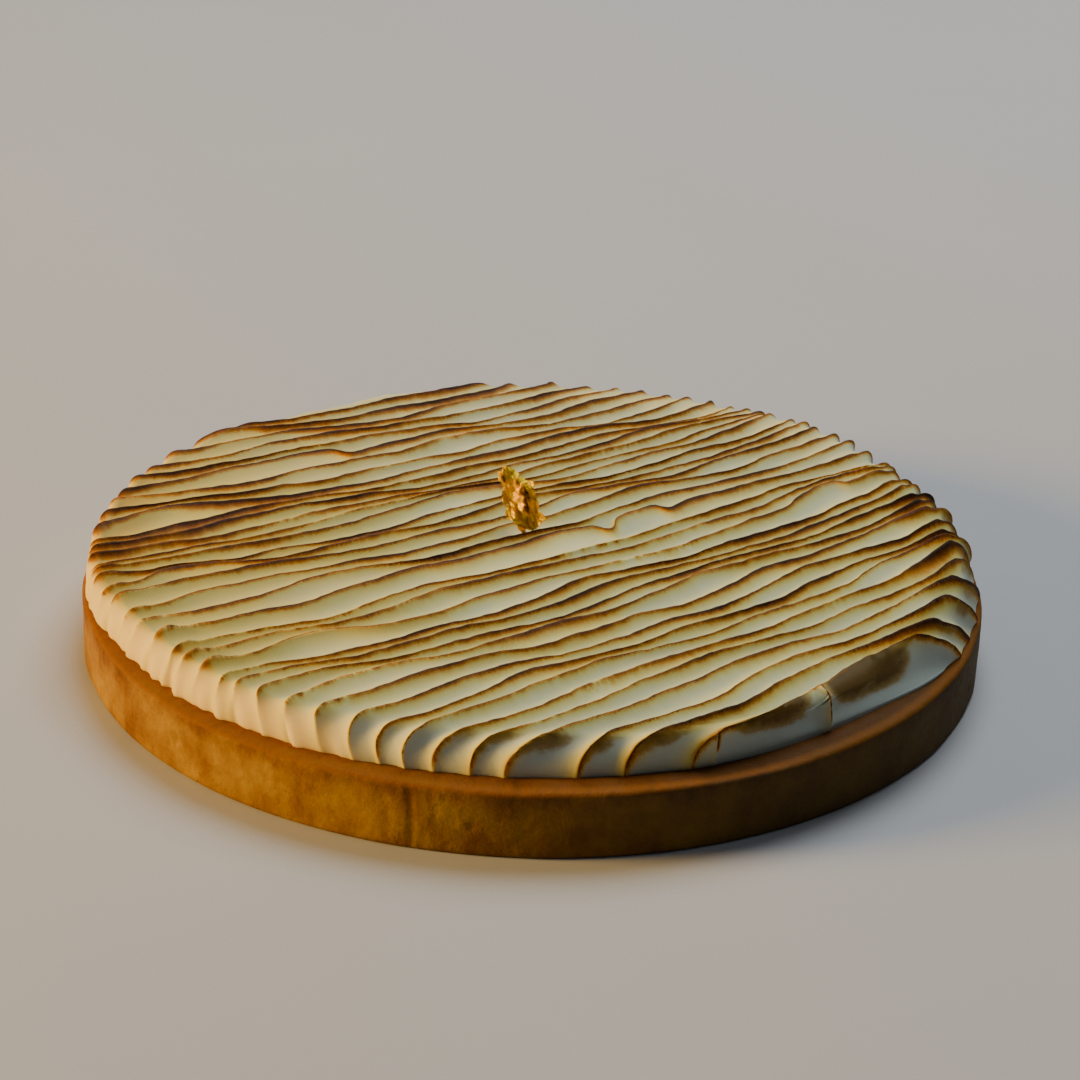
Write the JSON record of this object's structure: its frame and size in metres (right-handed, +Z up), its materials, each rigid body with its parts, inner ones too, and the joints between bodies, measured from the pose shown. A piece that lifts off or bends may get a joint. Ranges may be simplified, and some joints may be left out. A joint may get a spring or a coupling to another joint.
{
  "type": "lemon meringue tart",
  "caption": "Round straight-sided lemon meringue tart: a low baked pastry crust, a thick meringue top combed into wavy ridges and toasted along the crests, and a crumpled flake of gold leaf",
  "frame": {"origin": "centre of the tart's flat underside", "axes": "+Z up, away from the surface it stands on; +X to the right and +Y away as seen in the picture, with the ridges running 33 degrees counter-clockwise from +X"},
  "size_m": [0.2402, 0.2402, 0.0445],
  "materials": {
    "crust": "baked shortcrust pastry, golden brown with fine grain, a darker rim and small pits",
    "meringue": "soft whipped meringue, pale in the grooves and torched brown along the crests",
    "gold_leaf": "crumpled edible gold leaf, bright and wrinkled"
  },
  "bodies": {
    "root": {"crust": "crust", "meringue": "meringue", "gold_leaf": "gold_leaf"}
  },
  "joints": []
}
